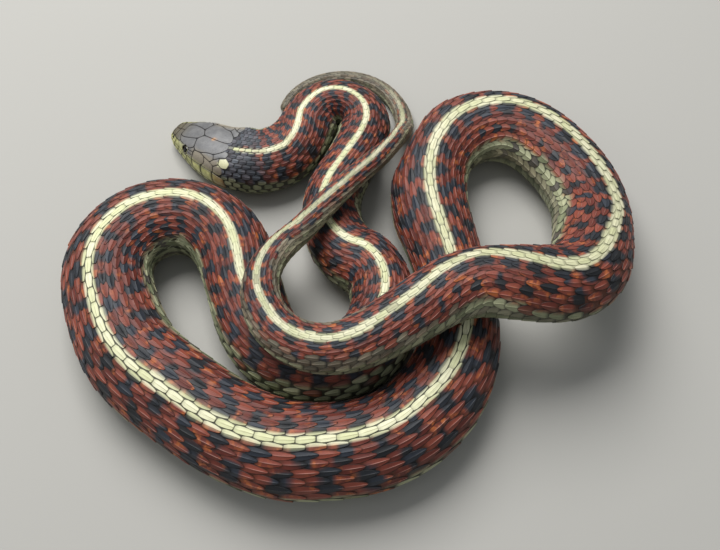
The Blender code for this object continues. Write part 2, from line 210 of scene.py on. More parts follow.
# Lip shields: where each starts, from snout to jaw angle, and the levels of their far edges.
UPPER_LIP_CUTS = [0.75, 2.2, 3.9, 5.6, 7.5, 9.5, 12.2, 15.0, 17.3]
UPPER_LIP_EDGE = [(0.68, 1.51), (2.6, 1.46), (4.5, 1.43), (7.5, 1.41), (9.4, 1.42), (12.3, 1.38), (15.2, 1.37),
                  (17.3, 1.5)]
LOWER_LIP_CUTS = [0.75, 1.9, 3.3, 4.8, 6.5, 8.4, 10.4, 12.4, 14.2, 15.8, 17.3]
LOWER_LIP_EDGE = [(0.75, 3.0), (3.3, 2.95), (8.4, 2.85), (17.3, 2.75)]
CUT_SLANT = 0.45        # a lip shield's border leans back towards the mouth, in mm
UPPER_LIP, LOWER_LIP = 1.955, 2.05      # levels of the lips' two edges, with the mouth between
THROAT_SCALE, THROAT_FROM, THROAT_TO = 1.25, 8.6, 16.2
OUTLINE_POINTS, EDGE_SAMPLES = 32, 16
SUTURE = 0.045           # gap between shields, in mm
BEVEL = 0.08
SHIELD_RINGS = [(0.0, 0.12), (0.3, 0.145), (0.62, 0.16), (0.88, 0.165)]   # share of the way in, height
SHIELD_SUNK = -0.08
LIP_FROM = 1.45         # level from which shields belong to the lips and the throat
EYE_RIM, NOSTRIL_RIM = 1.06, 0.32        # shields keep this far from the eye's and nostril's middle
EYE_S, EYE_LEVEL, NOSTRIL_S, NOSTRIL_LEVEL = 7.1, 1.05, 1.38, 1.17
EYE_UPWARD = 0.22       # how far the eye looks up
EYE_SUNK = 0.1         # and how much deeper it lies than its solid
SOCKET_DEEP = 0.9
PUPIL, PUPIL_RING, IRIS = 0.66, 0.75, 1.2      # radii on the eye, in mm

# Colours of the red garter snake.
BRICK, BRICK_LIGHT, RUST, RUST_DEEP = "#5A2218", "#86402F", "#B0602F", "#4A2410"
INK, INK_BLUE = "#141619", "#2A303A"
CREAM, CREAM_EDGE = "#E9E6C2", "#D3D5A4"
SAGE, SAGE_DARK = "#ABAD8A", "#6C7254"
NAPE, NAPE_LIGHT = "#2C3138", "#575B62"
OLIVE, OLIVE_LIGHT = "#575142", "#857E69"
# The third colour here is a painted highlight along the keels of the red scales.
BETWEEN_SCALES, BETWEEN_SIDE, KEEL_PAINTED_HIGHLIGHT, KEEL_BROWN = "#08080A", "#17190F", "#B8897B", "#8A7A55"
SHIELD, SHIELD_LIGHT, SNOUT = "#5A5A5B", "#737271", "#57503D"
LIP, LIP_DARK, THROAT, PALE_SPOT, ORANGE_SPOT = "#E6E29A", "#A4A75E", "#D2D2AE", "#CDCBA2", "#D08E3C"
TEMPLE, SUTURE_BROWN = "#8E8574", "#3B352F"
IRIS_BROWN, IRIS_GOLD, IRIS_PALE = "#3B372C", "#77704E", "#A7A382"

# Camera and light.
CAMERA_UP, CAMERA_AWAY, LOOK_AT = 63.5, 200.0, (2.2, -1.8)
FOCAL_PX, PHOTO_WIDE_PX = 930.0, 720.0
SKY, SKY_COLOUR, FLOOR_COLOUR = 0.37, "#E8EDF2", "#AEACA6"
LAMPS = [("overhead", (-0.16, 0.34, 0.52), 0.45, 5.6), ("left_fill", (-0.60, -0.08, 0.30), 0.5, 0.45)]


def linear(code):
    """A colour written as sRGB hex, as linear light."""
    parts = [int(code[i:i + 2], 16) / 255 for i in (1, 3, 5)]
    return (*[c / 12.92 if c <= 0.04045 else ((c + 0.055) / 1.055) ** 2.4 for c in parts], 1.0)


def column(table, s):
    """Value of a table of (distance, value) at a distance along the body."""
    at, value = np.array(table, float).T
    return np.interp(s, at, value)


def ramp(x, start, end):
    """Smooth step from 0 at start to 1 at end."""
    u = np.clip((x - start) / (end - start), 0, 1)
    return u * u * (3 - 2 * u)


def wave(x, seed):
    """Smooth noise along a line, between -1 and 1."""
    return (np.sin(x * 0.83 + seed) + np.sin(x * 0.37 + 2.1 * seed + 1.3) + np.sin(x * 1.61 + 3.7 * seed)) / 3


def resample(points, step):
    """The same line with evenly spaced points."""
    run = np.r_[0, np.cumsum(np.hypot(*np.diff(points, axis=0).T))]
    keep = np.r_[True, np.diff(run) > 1e-9]
    points, run = points[keep], run[keep]
    at = np.linspace(0, run[-1], int(round(run[-1] / step)) + 1)
    return np.stack([np.interp(at, run, points[:, 0]), np.interp(at, run, points[:, 1])], 1)


def belt_route():
    """Centre line of the body seen from above, one point each millimetre."""
    headings = []
    for (x0, y0, r0, s0), (x1, y1, r1, s1) in zip(BENDS, BENDS[1:]):
        gap = np.hypot(x1 - x0, y1 - y0)
        lean = np.arcsin(np.clip((s1 * r1 - s0 * r0) / gap, -0.999, 0.999))
        headings.append(np.arctan2(y1 - y0, x1 - x0) - lean)
    points = [BENDS[0][:2]]
    for i in range(1, len(BENDS) - 1):
        x, y, r, side = BENDS[i]
        start = headings[i - 1]
        turn = (side * (headings[i] - start)) % (2 * np.pi)
        if turn > ALMOST_FULL:
            turn -= 2 * np.pi
        for a in np.linspace(start, start + side * turn, max(2, int(abs(turn) * r / ARC_STEP) + 2)):
            points.append((x + side * r * np.sin(a), y - side * r * np.cos(a)))
    points.append(BENDS[-1][:2])
    line = resample(np.array(points, float), FINE_STEP)
    n = int(4 * EASE / FINE_STEP)
    bell = np.exp(-0.5 * (np.arange(-n, n + 1) * FINE_STEP / EASE) ** 2)
    bell /= bell.sum()
    line = np.vstack([2 * line[0] - line[n:0:-1], line, 2 * line[-1] - line[-2:-n - 2:-1]])
    eased = np.stack([np.convolve(line[:, k], bell, "valid") for k in (0, 1)], 1)
    return resample(eased, ROUTE_STEP)


def flatness(run):
    """Height over width along the body."""
    return NECK_FLAT + (FLAT - NECK_FLAT) * np.clip((run - SPREAD_TO) / SPREAD_FADE, 0, 1)


def ride_height(xy, run, width):
    """Height of the underside: the hind body rides over the lengths it crosses."""
    height = width * flatness(run)
    upper = run > RIDE_FROM
    apart = np.linalg.norm(xy[upper][:, None] - xy[None], axis=2)
    reach = (width[upper][:, None] + width[None]) / 2
    ahead = run[upper][:, None] - run[None]
    crosses = (ahead > CROSS_APART) & (run[None] < RIDE_FROM) & (apart < reach)
    over = np.sqrt(np.clip(1 - (apart / reach) ** 2, 0, 1))
    lift = height[None] / 2 + (height[upper][:, None] + height[None]) / 2 * over
    lift = np.where(crosses, lift - height[upper][:, None] / 2 + AIR, 0).max(axis=1)
    base = np.zeros(len(run))
    base[upper] = np.maximum(lift, 0)
    base[run > run[-1] - DOWN_AT] = 0
    along = run[:, None] - run[None]
    base = (base[None] - along ** 2 / (2 * CREST * width[None])).max(axis=1)
    ease = np.clip(RIDE_EASE * width, RIDE_EASE_LEAST, RIDE_EASE_MOST)[:, None]
    share = np.exp(-0.5 * (along / ease) ** 2)
    base = share @ np.maximum(base, 0) / share.sum(axis=1)
    base = base + AIR * np.clip(base - RAISED, 0, 1)
    return np.where(base < ON_FLOOR, 0, base)


def side_room(xy, run, width, base, normal, turn):
    """Half width to the route's left and right, less where a neighbour needs the room."""
    halves = []
    gap = np.linalg.norm(xy[:, None] - xy[None], axis=2)
    middle = base + width * FLAT / 2
    level = np.abs(middle[:, None] - middle[None])
    both = width[:, None] + width[None]
    far = np.abs(run[:, None] - run[None]) > 1.1 * both / 2 + NEXT_ALONG
    for side in (1, -1):
        across = ((xy[None] - xy[:, None]) * normal[:, None]).sum(axis=2) * side
        near = far & (across > BESIDE * gap) & (level < SAME_LEVEL * both * FLAT)
        share = (gap - AIR) * width[:, None] / both
        half = np.minimum(width / 2, np.where(near, share, np.inf).min(axis=1))
        half = np.minimum(half, BEND_ROOM / np.maximum(side * turn, 1e-3))
        for _ in range(SMOOTHINGS):
            half = np.minimum(half, np.convolve(np.pad(half, 1, "edge"), (0.25, 0.5, 0.25), "valid"))
        halves.append(half)
    return halves


def lay_body():
    """The laid body: route, girth, height and side room, one value each millimetre."""
    xy = belt_route()
    run = np.r_[0, np.cumsum(np.hypot(*np.diff(xy, axis=0).T))]
    width = column(WIDTHS, run)
    tangent = np.gradient(xy, axis=0)
    tangent /= np.linalg.norm(tangent, axis=1)[:, None]
    normal = np.stack([-tangent[:, 1], tangent[:, 0]], 1)
    heading = np.unwrap(np.arctan2(tangent[:, 1], tangent[:, 0]))
    base = ride_height(xy, run, width)
    left, right = side_room(xy, run, width, base, normal, np.gradient(heading, run))
    return dict(xy=xy, run=run, width=width, normal=normal, base=base, left=left, right=right)


def through(at, table, x):
    """Smooth curve through a table's rows, read at x."""
    slope = np.gradient(table, at, axis=0)
    k = np.clip(np.searchsorted(at, x) - 1, 0, len(at) - 2)
    step = at[k + 1] - at[k]
    u = (x - at[k]) / step
    shape = u.shape + (1,) * (table.ndim - 1)
    u, step = u.reshape(shape), step.reshape(shape)
    return ((1 + 2 * u) * (1 - u) ** 2 * table[k] + u * (1 - u) ** 2 * step * slope[k]
            + u * u * (3 - 2 * u) * table[k + 1] + u * u * (u - 1) * step * slope[k + 1])


def even_round(x, z, count):
    """A closed section with evenly spaced points, and the length round it at each old point."""
    x, z = np.r_[x, x[0]], np.r_[z, z[0]]
    arc = np.r_[0, np.cumsum(np.hypot(np.diff(x), np.diff(z)))]
    at = np.arange(count) / count * arc[-1]
    return np.interp(at, arc, x), np.interp(at, arc, z), arc


def body_section(s, width, left, right):
    """Round above, belly cut flat, from the top line round."""
    a = np.linspace(0, 2 * np.pi, FINE_ROUND, endpoint=False)
    high = width * flatness(s)
    half = np.where(np.sin(a) > 0, left, right)
    z = np.where(np.cos(a) >= 0, LEVEL * high + (1 - LEVEL) * high * np.cos(a),
                 np.maximum(0, LEVEL * high + BELLY * LEVEL * high * np.cos(a)))
    return half * np.sin(a), z


def head_section(row):
    """Section of the head, smooth through its crown, cheek, lip and chin, and its levels."""
    _, crown, lip, chin, z_crown, z_lip, z_chin = row
    half = [(0, z_crown)]
    half += [((crown + mix * (lip - crown)) * part + swell, z_lip + up * (z_crown - z_lip))
             for part, mix, swell, up in HEAD_ABOVE]
    half += [(0.97 * lip, z_lip)]
    half += [((chin + mix * (lip - chin)) * part + swell, z_chin + up * (z_lip - z_chin))
             for part, mix, swell, up in HEAD_BELOW]
    half += [(0, z_chin)]
    left = np.array(half, float)
    ring = np.vstack([left, left[-2:0:-1] * (-1, 1)])
    arc = np.r_[0, np.cumsum(np.linalg.norm(np.diff(np.vstack([ring, ring[:1]]), axis=0), axis=1))]
    looped = np.vstack([ring[-3:], ring, ring[:4]])
    at = np.r_[arc[-4:-1] - arc[-1], arc[:-1], arc[-1] + arc[:4]]
    fine = through(at, looped, np.linspace(0, arc[-1], FINE_ROUND, endpoint=False))
    run = np.r_[0, np.cumsum(np.hypot(*np.diff(np.vstack([fine, fine[:1]]), axis=0).T))]
    levels = np.interp(arc[LEVEL_POINTS] / arc[-1] * FINE_ROUND, np.arange(FINE_ROUND + 1), run / run[-1])
    return fine[:, 0], fine[:, 1], levels


def make_hide(b):
    """Table of the animal's outer surface: rows along the body, columns even round it."""
    tip = b["run"][-1]
    rows = np.r_[np.arange(SNOUT_TIP + 0.01, HEAD_FINE_TO, HEAD_STEP),
                 np.arange(HEAD_FINE_TO, tip - TAIL_ROUND, BODY_STEP), tip - TAIL_ROUND * np.array(TIP_ROWS)]
    n = len(rows)
    grid, around, line, levels = np.zeros((n, ROUND, 3)), np.zeros(n), np.zeros(n), np.zeros((n, 9))
    for k, s in enumerate(rows):
        at = {key: np.array([np.interp(s, b["run"], c) for c in np.atleast_2d(b[key].T)]) for key in b}
        xy, normal, width, base = at["xy"], at["normal"], at["width"][0], at["base"][0]
        xy = xy + min(s, 0) * np.array([normal[1], -normal[0]])
        past = np.clip((s - tip + TAIL_ROUND) / TAIL_ROUND, 0, 0.995)
        blunt = (1 - past ** 2) ** 0.5
        x, z = body_section(s, width * blunt, at["left"][0] * blunt, at["right"][0] * blunt)
        base += TAIL_LIFT * width * FLAT * (1 - blunt)
        lean = radians(column(LEAN, s)) % (2 * np.pi)
        arc = even_round(x, z, 8)[2]
        line[k] = np.interp(lean / (2 * np.pi) * FINE_ROUND, np.arange(FINE_ROUND + 1), arc)
        if line[k] > arc[-1] / 2:
            line[k] -= arc[-1]
        x, z, _ = even_round(x, z, ROUND)
        mix = ramp(s, *HEAD_TO_BODY)
        if mix < 1:
            inner = 1 - np.clip((SNOUT_ROUND + SNOUT_TIP - s) / SNOUT_ROUND, 0, 0.999) ** 2
            row = through(HEAD[:, 0], HEAD, np.array([max(s, SNOUT_ROUND + SNOUT_TIP)]))[0]
            hx, hz, marks = head_section(row)
            middle = row[5]
            hx, hz = hx * inner ** 0.5, middle + (hz - middle) * inner ** 0.5
            hx, hz, _ = even_round(hx, hz, ROUND)
            x, z = hx + mix * (x - hx), hz + mix * (z - hz)
        grid[k, :, :2] = xy + normal * x[:, None]
        grid[k, :, 2] = base + z
        around[k] = np.hypot(np.diff(np.r_[x, x[0]]), np.diff(np.r_[z, z[0]])).sum()
        levels[k] = around[k] * np.r_[0, marks, 0.5, 1 - marks[::-1], 1]
    along = np.gradient(grid, rows, axis=0)
    across = np.roll(grid, -1, axis=1) - np.roll(grid, 1, axis=1)
    out = np.cross(along, across)
    out /= np.maximum(np.linalg.norm(out, axis=2), 1e-9)[..., None]
    index = np.r_[0, np.cumsum(np.diff(rows) / column(PITCH, (rows[1:] + rows[:-1]) / 2))]
    pitch = around * BACK_SHARE / column(ROWS, rows)
    return dict(rows=rows, grid=grid, out=out, pace=np.linalg.norm(along, axis=2), around=around, line=line,
                index=index, pitch=pitch, coat=COAT_SHARE * pitch, levels=levels)


def between(h, name, s, t):
    """A value of the hide's table between its rows and columns."""
    table, rows = h[name], h["rows"]
    s = np.clip(s, rows[0], rows[-1])
    k = np.clip(np.searchsorted(rows, s) - 1, 0, len(rows) - 2)
    u = (s - rows[k]) / (rows[k + 1] - rows[k])
    c = (t / np.interp(s, rows, h["around"])) % 1.0 * ROUND
    i = c.astype(int) % ROUND
    j, v = (i + 1) % ROUND, c - c.astype(int)
    if table.ndim == 3:
        u, v = u[..., None], v[..., None]
    near = table[k, i] * (1 - v) + table[k, j] * v
    far = table[k + 1, i] * (1 - v) + table[k + 1, j] * v
    return near * (1 - u) + far * u


def on_hide(h, s, t, up):
    """World place in millimetres of a point: s along, t round from the top, up from the skin."""
    depth = np.interp(s, h["rows"], h["coat"])
    place = between(h, "grid", s, t) + between(h, "out", s, t) * (up - depth)[..., None]
    place[..., 2] = np.maximum(place[..., 2], FLOOR_GAP)
    return place


def row_place(s, row):
    """How far a row lies from the stripe, and its width, both in mean row widths."""
    x = 2 * row / (column(ROWS, s) - 1)
    return row * (ROW_NARROW + (1 - ROW_NARROW) * x * x), ROW_NARROW + 3 * (1 - ROW_NARROW) * x * x


def row_at(s, place):
    """The row at a distance from the stripe: row_place the other way round."""
    half = (column(ROWS, s) - 1) / 2
    x = np.linspace(-2, 2, 401)
    return half * np.interp(place / half, x * (ROW_NARROW + (1 - ROW_NARROW) * x * x), x)


def markings(s, index, row, fine_index, fine_row):
    """Amounts of black, rust and side-stripe green, and of nape, tail and stripe cream.

    index and row are the scale's own, the fine ones are the place's on it, so that a check
    can end part way through a scale.
    """
    side = np.where(row < 0, 0.0, 1.0)
    half = (column(ROWS, s) - 1) / 2
    a = np.abs(row + WITHIN_SCALE * (fine_row - row)) * 9 / half
    along = index + WITHIN_SCALE * (fine_index - index)
    phase = 2 * np.pi * along / CHECK + 1.1 * wave(index * 0.5, 1.7 + 2.9 * side) + 2.2 * side
    upper = np.cos(phase) * np.exp(-((a - UPPER_CHECKS) / CHECK_HIGH) ** 2)
    lower = -np.cos(phase + 0.8 * wave(index * 0.6, 4.4 + side)) * np.exp(-((a - LOWER_CHECKS) / CHECK_HIGH) ** 2)
    grain = wave(index * 5.3 + row * 3.1, 0.6) + 0.7 * wave(index * 9.7 - row * 7.9, 2.2)
    hind = ramp(s, 320, 345) * (1 - ramp(s, 480, 510))
    loop = ramp(s, 330, 345) * (1 - ramp(s, 382, 400))
    band = 0.75 * np.exp(-((a - 1.9) / 0.85) ** 2) - (0.28 + 0.2 * loop) * ramp(a, 3.0, 4.2)
    black = ramp(upper + lower + 0.3 * grain + hind * band, 0.06, 0.24)
    blotch = 0.6 * wave(fine_index * 3.1 + fine_row * 2.7, 5.5) + 0.5 * wave(row * 11.3 - index * 2.3, 3.1)
    near_stripe = 1 - ramp(np.abs(fine_row), 1.3, 2.0)
    rust = np.maximum(ramp(blotch + 0.25 * ramp(a, 3, 7), 0.12, 0.5), 0.8 * near_stripe)
    starts = half * np.where(side == 0, *(column(table, s) for table in SIDE_STRIPE))
    green = ramp(np.abs(fine_row) + 0.4 * wave(index * 4.7 + 9 * side, 7.7), starts - 0.3, starts + 0.2)
    odd = wave(index * 17.3 + row * 5.1, 3.9)
    keeled_row = np.abs(row) < 11.5
    green = green * np.where((np.abs(odd) > 0.66) & keeled_row, 0.15, 1.0)
    black = np.maximum(black * (1 - green), 0.9 * (odd < -0.66) * (a > 6) * keeled_row)
    fleck = (1 - ramp(np.abs(fine_row), 0.9, 1.2)) * (wave(index * 5 + 3 * side, 2.5) > 0.1)
    nape = 0.95 * (1 - ramp(s + 2.0 * wave(index * 3.3 + row * 1.9, 1.1), 20.5, 24.5)) * (1 - 0.85 * fleck)
    dim = ramp(np.abs(row) * 9 / half + 0.9 * grain - column(DIM_FROM, s), 0, 0.8)
    # The lowest back row turns dull olive with little green: partly its own dusky colour, partly painted shade low on
    # the flank.
    low_row_dusk_and_shade = ramp(np.abs(row) - half, -0.9, -0.2) * keeled_row
    tail = np.max([0.9 * ramp(s + 5 * grain, 536, 566), 0.9 * dim, low_row_dusk_and_shade], axis=0)
    edge = column(STRIPE, s) + 0.12 * wave(index * 0.9 + 4 * side, 0.4) + (0.12 + 0.12 * ramp(s, 430, 460)) * wave(index * 7.1 + 5 * side, 3.3)
    stripe = 1 - ramp(np.abs(fine_row), edge - 0.14, edge + 0.24)
    tail = np.maximum(tail, stripe * ramp(s, 300, 400))
    stripe = stripe * ramp(s + 0.9 * wave(index * 6.1, 2.0), 16.5, 18.5) * (1 - 0.2 * ramp(s, 300, 400))
    stripe = stripe * (1 - 0.3 * ramp(s, 475, 515)) * (1 - ramp(s, 548, 564))
    stripe = stripe * (1 - 0.4 * ramp(s, 430, 460) * ramp(grain, 0.25, 0.9))
    return np.stack([black, rust, green * (1 - 0.7 * low_row_dusk_and_shade)], -1), np.stack([nape, tail, stripe], -1)


def fill_mesh(name, places, corners, sizes):
    """A mesh object at the origin from places in millimetres and its faces' corners in a row."""
    mesh = bpy.data.meshes.new(name)
    mesh.vertices.add(len(places))
    mesh.vertices.foreach_set("co", (places * MM).astype(np.float32).ravel())
    mesh.loops.add(len(corners))
    mesh.loops.foreach_set("vertex_index", corners.astype(np.int32))
    mesh.polygons.add(len(sizes))
    mesh.polygons.foreach_set("loop_start", np.r_[0, np.cumsum(sizes)[:-1]].astype(np.int32))
    mesh.update(calc_edges=True)
    mesh.shade_smooth()
    mesh.set_sharp_from_angle(angle=radians(SHARP))
    piece = bpy.data.objects.new(name, mesh)
    bpy.context.scene.collection.objects.link(piece)
    return piece


def write_attribute(piece, name, values):
    """Values at the piece's vertices that its material reads."""
    values = np.asarray(values, np.float32)
    kind, key = ("FLOAT_VECTOR", "vector") if values.ndim == 2 else ("FLOAT", "value")
    piece.data.attributes.new(name, kind, "POINT").data.foreach_set(key, values.ravel())


def write_marks(piece, s, index, row, fine_index, fine_row, along, across, chance):
    """The attributes that every material of the hide reads."""
    marks, tints = markings(s, index, row, fine_index, fine_row)
    red = (1 - marks[..., 0]) * (1 - marks[..., 2]) * np.prod(1 - tints, axis=-1)
    write_attribute(piece, "marks", marks.reshape(-1, 3))
    write_attribute(piece, "tints", tints.reshape(-1, 3))
    write_attribute(piece, "lay", np.stack([red.ravel(), along.ravel(), across.ravel()], -1))
    write_attribute(piece, "chance", chance.ravel())


def write_map(piece, corners, u, v):
    """The bake map, given at the vertices."""
    uv = piece.data.uv_layers.new(name="OFBake")
    uv.data.foreach_set("uv", np.stack([u, v], -1).reshape(-1, 2)[corners].astype(np.float32).ravel())


def deselect():
    bpy.ops.object.select_all(action="DESELECT")


def scale_pattern(across, along, outline, relief):
    """One scale as a grid whose rim is sunk and whose back is closed: its places and faces.

    Its columns are: along and across from -1 to 1, half width there, and height in coats.
    """
    deselect()
    bpy.ops.mesh.primitive_grid_add(x_subdivisions=len(along) - 1, y_subdivisions=len(across) - 1, size=2)
    piece = bpy.context.object
    for v in piece.data.vertices:
        u = np.interp(v.co.x, np.linspace(-1, 1, len(along)), along)
        w = np.interp(v.co.y, np.linspace(-1, 1, len(across)), across)
        v.co = (u, w, relief(u, w))
    bpy.ops.object.mode_set(mode="EDIT")
    bpy.ops.mesh.select_all(action="DESELECT")
    bpy.ops.mesh.select_mode(type="EDGE")
    bpy.ops.mesh.select_non_manifold()
    bpy.ops.mesh.edge_face_add()
    bpy.ops.object.mode_set(mode="OBJECT")
    cell = np.array([v.co for v in piece.data.vertices])
    faces = [tuple(p.vertices) for p in piece.data.polygons]
    bpy.data.objects.remove(piece)
    return np.column_stack([cell[:, :2], outline(cell[:, 0]), cell[:, 2]]), faces


def kite(u):
    """Half width of a back scale: broad shoulders near the root, then tapering to a point."""
    return np.interp(u, (-1, -0.85, -0.6, -0.3, 0.0, 0.4, 0.75, 0.94, 1),
                     (0.45, 0.78, 0.97, 1.0, 0.94, 0.74, 0.46, 0.22, 0.08))


def tongue(u):
    """Half width of a stripe scale: a round root and a broad blunt end."""
    return np.interp(u, (-1, -0.92, -0.78, -0.5, 0.0, 0.5, 0.8, 0.94, 1),
                     (0.2, 0.5, 0.78, 0.98, 1.0, 0.88, 0.74, 0.6, 0.42))


def keeled(u, w, fall=0.3, keel=0.2):
    """Height of a back scale: two flat sides that fall away from a keel, the tip lifted."""
    lift = 0.08 + 0.6 * np.interp(u, (-1, 0.85, 1), (0, 1, 0.97))
    lift = lift * (1 - fall * abs(w)) + keel * np.interp(u, (-1, -0.6, 0.9), (0, 0.8, 1)) * (abs(w) < 0.01)
    rim = (abs(u) > 0.99) | (abs(w) > 0.99)
    return np.where(rim, np.interp(u, (-1, 0, 1), (-0.3, -0.15, 0.2)), lift)


def broad(u):
    return np.ones_like(u)


def smooth_scute(u, w):
    """Height of a belly scute: flat, lifted a little at its hind edge."""
    if abs(u) > 0.99 or abs(w) > 0.99:
        return -0.25 + 0.5 * np.interp(u, (-1, 0.2, 1), (0, 0.3, 1))
    return 0.1 + 0.6 * np.interp(u, (-1, 0.8, 1), (0, 1, 0.9))


def grow(h, name, pattern, s, t, row, index, length, width, map_box, row_span=0.6, blunt=0.0):
    """One joined piece of many scales, each laid on the hide at its own place and size."""
    cell, faces = pattern
    u, w, narrow, up = cell.T
    n, k = len(s), len(cell)
    blunt = np.broadcast_to(blunt, n)[:, None]
    narrow = narrow[None] + blunt * (tongue(u) - narrow)[None]
    up = up[None] + blunt * (keeled(u, w, 0.1, 0.05) - up)[None]
    across = w[None] * narrow
    pace = np.maximum(between(h, "pace", s, t), 0.25)
    at_s = s[:, None] + (u / 2 - SCALE_FORWARD)[None] * (length / pace)[:, None]
    at_t = t[:, None] + across * (width / 2)[:, None]
    line = np.interp(at_s, h["rows"], h["line"]) - np.interp(s, h["rows"], h["line"])[:, None]
    coat = np.interp(s, h["rows"], h["coat"])
    places = on_hide(h, at_s, at_t + line, up * coat[:, None])
    sizes = np.tile([len(f) for f in faces], n)
    corners = (np.concatenate(faces)[None] + k * np.arange(n)[:, None]).ravel()
    piece = fill_mesh(name, places.reshape(-1, 3), corners, sizes)
    (s0, s1), (r0, r1) = map_box
    root_u, root_v = 0.01 + 0.98 * (s - s0) / (s1 - s0), 0.01 + 0.98 * (row - r0) / (r1 - r0)
    write_map(piece, corners, root_u[:, None] + u * BAKE_PATCH / 2, root_v[:, None] + across * BAKE_PATCH / 2)
    every = np.ones((n, k))
    chance = np.random.default_rng(len(name) * 7 + n).random(n)
    write_marks(piece, s[:, None] * every, index[:, None] * every, row[:, None] * every,
                index[:, None] + 0.6 * u[None] * every, row[:, None] + row_span * across,
                u * every, w * every, chance[:, None] * every)
    return piece


def back_scales(h):
    """Keeled scales in staggered rows, one piece for each stretch of the body."""
    along = (-1, -0.8, -0.5, -0.15, 0.25, 0.6, 0.84, 0.94, 1)
    across = (-1, -0.9, -0.1, 0, 0.1, 0.9, 1)
    pattern = scale_pattern(across, along, kite, keeled)
    rows, index = h["rows"], h["index"]
    outlines = head_outlines()
    pieces = []
    for name, start, end in STRETCHES:
        first, last = np.interp((start, end), rows, index)
        found = []
        for row in range(-MOST_ROWS, MOST_ROWS + 1):
            half = 0.5 * (row % 2)
            at = np.arange(np.ceil(first - half), np.ceil(last - half)) + half
            s = np.interp(at, index, rows)
            fits = (abs(row) <= (column(ROWS, s) - 1) / 2 + 0.35) & (s > NAPE_FROM) & (s < rows[-1] - 0.5)
            found.append(np.stack([s[fits], np.full(fits.sum(), float(row)), at[fits]]))
        s, row, at = np.hstack(found)
        place, wide = row_place(s, row)
        pitch = np.interp(s, rows, h["pitch"])
        t = np.interp(s, rows, h["line"]) + place * pitch
        pace = np.clip(between(h, "pace", s, t), column(CROWD_LEAST, s), CROWD_MOST)
        jitter = np.random.default_rng(int(start)).normal(0, SIZE_JITTER, (2, len(s)))
        apart = np.where(abs(row) < 1.5, column(STRIPE_APART, s), column(APART, s))
        length = column(PITCH, s) * pace * (SCALE_LONGER + apart * (APART_LONGER - SCALE_LONGER))
        width = pitch * wide * (SCALE_WIDER + apart * (APART_WIDER - SCALE_WIDER))
        length, width = length * (1 + jitter[0]), width * (1 + jitter[1])
        clear = np.ones(len(s), bool)
        if start < HEAD_TO_BODY[1]:
            for ahead, aside in ((0.1, 0), (0.25, 0), (0.1, 0.1), (0.1, -0.1)):
                clear &= ~on_shields(h, outlines, s + ahead * length, t + aside * width)
        s, t, row, at, length, width = (x[clear] for x in (s, t, row, at, length, width))
        blunt = np.select([row == 0, abs(row) == 1], [1.0, 0.6], column(ROUNDED, s))
        pieces.append(grow(h, "scales_" + name, pattern, s, t, row, at, length, width,
                           ((start - 3, end + 3), (-MOST_ROWS - 1, MOST_ROWS + 1)), blunt=blunt))
    return pieces


def belly_scutes(h):
    """Broad scutes under the body, in pairs under the tail."""
    across = (-1, -0.97, -0.8, -0.6, -0.4, -0.2, 0, 0.2, 0.4, 0.6, 0.8, 0.97, 1)
    pattern = scale_pattern(across, (-1, -0.6, 0, 0.6, 0.93, 1), broad, smooth_scute)
    rows, index = h["rows"], h["index"]
    pieces = []
    for label, start, end, side in (("belly_scutes", SCUTES_FROM, VENT, 0), ("tail_scutes_right", VENT, 590, 1),
                                    ("tail_scutes_left", VENT, 590, -1)):
        first, last = np.interp((start, min(end, rows[-1] - 1.2)), rows, index)
        at = np.arange(np.ceil(first), np.ceil(last))
        s = np.interp(at, index, rows)
        around = np.interp(s, rows, h["around"])
        span = around * (1 - BACK_SHARE) * SCUTE_OVER
        t = np.interp(s, rows, h["line"]) + around / 2 - side * span / 4
        width = span * (0.52 if side else 1)
        pieces.append(grow(h, label, pattern, s, t, np.full(len(s), 12.0), at, column(PITCH, s) * 1.3, width,
                           ((start - 3, end + 3), (10, 14)), row_span=0.3))
    return pieces


def throat_scales(h):
    """Small smooth scales between the chin shields and the first scutes."""
    pattern = scale_pattern((-1, -0.8, 0, 0.8, 1), (-1, -0.6, 0, 0.6, 1), kite, smooth_scute)
    found = []
    for i, s in enumerate(np.arange(THROAT_FROM, THROAT_TO, THROAT_SCALE * 0.8)):
        middle, edge = head_t(h, np.array([s, s]), np.array([4.0, 2.88]))
        for j in range(-4, 5):
            off = (j + 0.5 * (i % 2)) * THROAT_SCALE
            if abs(off) < middle - edge and (s > 10.6 or abs(off) > 0.25 * (10.6 - s) * THROAT_SCALE + 2.2):
                found.append((s, middle + off))
    s, t = np.array(found).T
    size = np.full(len(s), THROAT_SCALE)
    return grow(h, "throat_scales", pattern, s, t, np.full(len(s), 12.0), s, size * 1.25, size * 1.2,
                ((5, 20), (10, 14)), row_span=0.3)


def head_t(h, s, level):
    """Distance round the head, in millimetres from the top line, at a level."""
    rows = h["rows"]
    k = np.clip(np.searchsorted(rows, s) - 1, 0, len(rows) - 2)
    u = np.clip((s - rows[k]) / (rows[k + 1] - rows[k]), 0, 1)
    turn = np.floor(level / 8)
    j = np.clip((level - 8 * turn).astype(int), 0, 7)
    v = level - 8 * turn - j
    table = h["levels"]
    near = table[k, j] * (1 - v) + table[k, j + 1] * v + turn * table[k, 8]
    far = table[k + 1, j] * (1 - v) + table[k + 1, j + 1] * v + turn * table[k + 1, 8]
    return near * (1 - u) + far * u


def head_place(h, spots, up=0.0):
    """World places in millimetres of spots on the head told by distance and level."""
    s = np.maximum(spots[:, 0], SNOUT_TIP + 0.01)
    return on_hide(h, s, head_t(h, s, spots[:, 1]), np.full(len(s), up))


def head_out(h, spots):
    """The way out of the head at the same spots."""
    return between(h, "out", spots[:, 0], head_t(h, spots[:, 0], spots[:, 1]))


